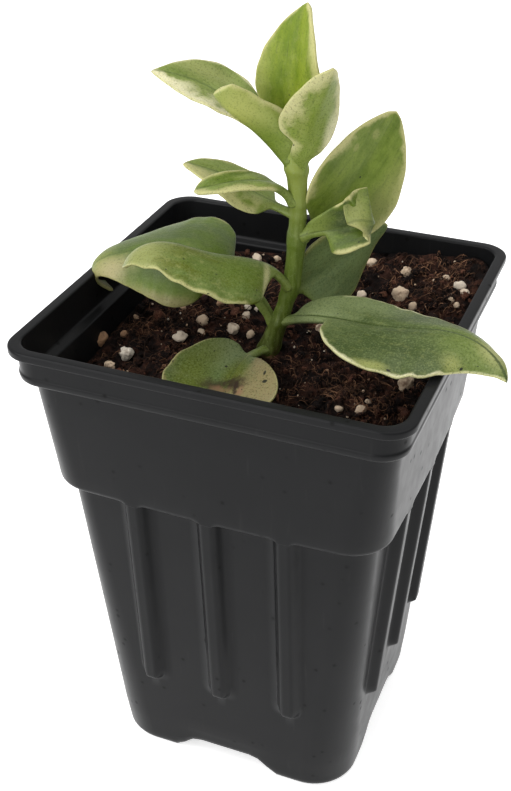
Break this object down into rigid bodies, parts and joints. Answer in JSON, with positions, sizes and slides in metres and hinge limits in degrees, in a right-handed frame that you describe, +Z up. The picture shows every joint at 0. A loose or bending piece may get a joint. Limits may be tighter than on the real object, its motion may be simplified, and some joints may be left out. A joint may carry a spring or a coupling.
{
  "type": "potted trailing ice plant",
  "caption": "Young variegated trailing ice plant with fleshy cream-edged leaves on an upright stem, in a deep square black plastic nursery pot filled with peat and perlite mix.",
  "frame": {"origin": "centre of the pot's base, on the surface that the pot stands on", "axes": "+Z up along the pot; +X and +Y square to the pot's sides, with the picture's camera in front of the -Y side and a little towards +X"},
  "size_m": [0.0873, 0.0762, 0.1562],
  "materials": {
    "pot_plastic": "near-black satin polypropylene with fine dark specks",
    "mix": "crumbly dark red-brown peat and coir with off-white perlite",
    "stem": "smooth fleshy light green",
    "leaf_young": "fleshy yellow-green with cream margins and a fine frosted sheen",
    "leaf": "fleshy green with irregular cream margins and a fine frosted sheen"
  },
  "bodies": {
    "root": {"pot": "pot_plastic", "potting_mix": "mix", "stem": "stem", "leaf_top_back": "leaf_young", "leaf_top_front": "leaf_young", "leaf_top_left_front": "leaf_young", "leaf_top_left_back": "leaf_young", "leaf_mid_left_back": "leaf", "leaf_mid_left_front": "leaf", "leaf_mid_right_back": "leaf", "leaf_mid_right_front": "leaf", "leaf_low_right_back": "leaf", "leaf_low_right_front": "leaf", "leaf_low_left_back": "leaf", "leaf_low_left_front": "leaf", "leaf_base_front": "leaf"}
  },
  "joints": []
}
